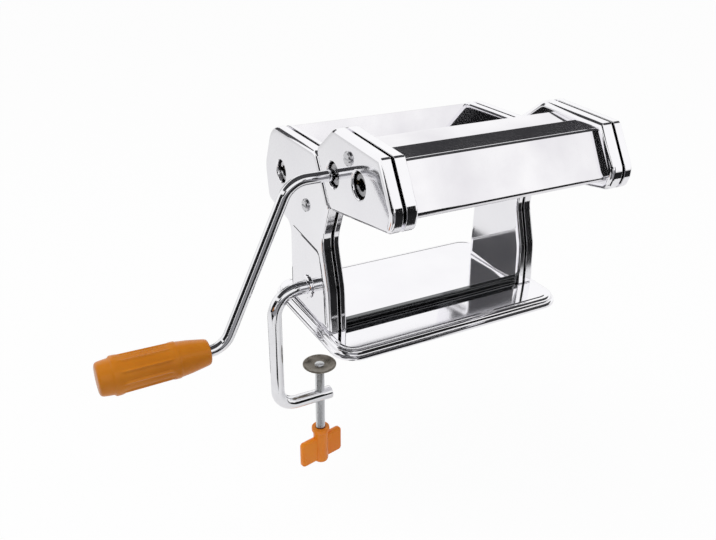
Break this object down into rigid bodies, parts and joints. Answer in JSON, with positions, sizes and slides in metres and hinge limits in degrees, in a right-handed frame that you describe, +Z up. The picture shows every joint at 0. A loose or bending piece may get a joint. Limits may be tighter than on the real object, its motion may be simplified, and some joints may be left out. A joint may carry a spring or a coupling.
{
  "type": "hand cranked pasta machine",
  "caption": "Hand cranked pasta machine with smooth sheet rollers in a polished steel body, a lift-off ribbon cutter head, a plug-in crank and a screw clamp for the table edge",
  "frame": {"origin": "on the table plane under the middle of the base, between the four rubber feet", "axes": "X along the rollers with the crank on the -X side, -Y to the front under the cutter head, +Z up"},
  "size_m": [0.372, 0.1988, 0.3018],
  "materials": {
    "chrome": "polished",
    "brushed": "fine ground",
    "gear_steel": "machined",
    "zinc": "zinc plated",
    "brass": "turned",
    "amber_plastic": "glossy",
    "black_plastic": "satin",
    "rubber": "matte"
  },
  "bodies": {
    "machine_body": {"base_tray": "chrome", "rubber_feet": "rubber", "leg_screws": "zinc", "front_tie_bar": "chrome", "left_frame": "chrome", "right_frame": "chrome", "left_cover": "chrome", "right_cover": "chrome", "tie_rods": "brushed", "cover_screws": "chrome", "frame_screws": "zinc", "hopper_rear_panel": "chrome", "hopper_front_panel": "chrome", "rear_scraper": "brushed", "front_scraper": "brushed", "head_rails": "brushed", "roller_bushes": "brass", "dial_plate": "chrome", "clamp_sleeve": "chrome"},
    "rear_roller": {"rear_roller": "brushed", "rear_roller_gear": "gear_steel"},
    "bearing_blocks": {"bearing_blocks": "brass"},
    "front_roller": {"front_roller": "brushed", "front_roller_gear": "gear_steel"},
    "adjuster": {"adjuster_shaft": "brushed", "knob_spring": "gear_steel", "knob_screw": "zinc"},
    "adjuster_knob": {"adjuster_knob": "black_plastic", "knob_cap": "black_plastic"},
    "cutter_head": {"head_left_frame": "chrome", "head_right_frame": "chrome", "head_left_cover": "chrome", "head_right_cover": "chrome", "head_front_panel": "chrome", "head_guide_plate": "chrome", "head_rear_panel": "chrome", "head_tie_rod": "brushed", "head_screws": "chrome", "cutter_bushes": "brass", "narrow_combs": "brushed", "wide_combs": "brushed"},
    "narrow_driver": {"narrow_cutter_driver": "brushed", "narrow_driver_gear": "gear_steel"},
    "narrow_mate": {"narrow_cutter_mate": "brushed", "narrow_mate_gear": "gear_steel"},
    "wide_driver": {"wide_cutter_driver": "brushed", "wide_driver_gear": "gear_steel"},
    "wide_mate": {"wide_cutter_mate": "brushed", "wide_mate_gear": "gear_steel"},
    "crank": {"crank_rod": "chrome", "crank_pin": "chrome"},
    "crank_grip": {"crank_grip": "amber_plastic"},
    "clamp": {"clamp_rod": "chrome"},
    "clamp_pad": {"clamp_pad": "zinc"},
    "clamp_screw": {"clamp_screw": "zinc", "clamp_knob": "amber_plastic"}
  },
  "joints": [
    {"name": "rear_roller_spin", "type": "hinge", "parent": "machine_body", "child": "rear_roller", "pos_m": [0, 0.0479, 0.1074], "axis": [1, 0, 0], "continuous": true},
    {"name": "roller_gap", "type": "slide", "parent": "machine_body", "child": "bearing_blocks", "axis": [0, 1, 0], "range_m": [0, 0.0027]},
    {"name": "front_roller_spin", "type": "hinge", "parent": "bearing_blocks", "child": "front_roller", "pos_m": [0, 0.0168, 0.1074], "axis": [1, 0, 0], "continuous": true},
    {"name": "thickness_dial", "type": "hinge", "parent": "machine_body", "child": "adjuster", "pos_m": [0, 0.01815, 0.08], "axis": [-1, 0, 0], "range_deg": [0, 128]},
    {"name": "knob_pull", "type": "slide", "parent": "adjuster", "child": "adjuster_knob", "axis": [1, 0, 0], "range_m": [0, 0.004], "stiffness_N_per_m": 600, "springref_m": -0.003},
    {"name": "head_lift", "type": "slide", "parent": "machine_body", "child": "cutter_head", "axis": [0, 0.5, 0.866], "range_m": [0, 0.05]},
    {"name": "narrow_cutter_spin", "type": "hinge", "parent": "cutter_head", "child": "narrow_driver", "pos_m": [0, -0.0398, 0.1315], "axis": [1, 0, 0], "continuous": true},
    {"name": "narrow_mate_spin", "type": "hinge", "parent": "cutter_head", "child": "narrow_mate", "pos_m": [0, -0.05649, 0.13346], "axis": [1, 0, 0], "continuous": true},
    {"name": "wide_cutter_spin", "type": "hinge", "parent": "cutter_head", "child": "wide_driver", "pos_m": [0, -0.0757, 0.1357], "axis": [1, 0, 0], "continuous": true},
    {"name": "wide_mate_spin", "type": "hinge", "parent": "cutter_head", "child": "wide_mate", "pos_m": [0, -0.09238, 0.13766], "axis": [1, 0, 0], "continuous": true},
    {"name": "crank_pull", "type": "slide", "parent": "narrow_driver", "child": "crank", "axis": [-1, 0, 0], "range_m": [0, 0.03]},
    {"name": "grip_spin", "type": "hinge", "parent": "crank", "child": "crank_grip", "pos_m": [0, -0.0398, 0.0231], "axis": [1, 0, 0], "continuous": true},
    {"name": "clamp_swing", "type": "hinge", "parent": "machine_body", "child": "clamp", "pos_m": [0, 0.0036, 0.03], "axis": [1, 0, 0], "range_deg": [-30, 30]},
    {"name": "clamp_pad_travel", "type": "slide", "parent": "clamp", "child": "clamp_pad", "axis": [0, 0, 1], "range_m": [-0.02, 0.025]},
    {"name": "clamp_screw_turn", "type": "hinge", "parent": "clamp_pad", "child": "clamp_screw", "pos_m": [-0.085, 0.0036, -0.07], "axis": [0, 0, 1], "range_deg": [-5760, 7200]}
  ],
  "couplings": [
    {"joint": "front_roller_spin", "follows": "rear_roller_spin", "ratio": -1},
    {"joint": "thickness_dial", "follows": "roller_gap", "rad_per_m": 827.4},
    {"joint": "narrow_mate_spin", "follows": "narrow_cutter_spin", "ratio": -1},
    {"joint": "wide_mate_spin", "follows": "wide_cutter_spin", "ratio": -1},
    {"joint": "clamp_screw_turn", "follows": "clamp_pad_travel", "rad_per_m": 5026.5}
  ]
}
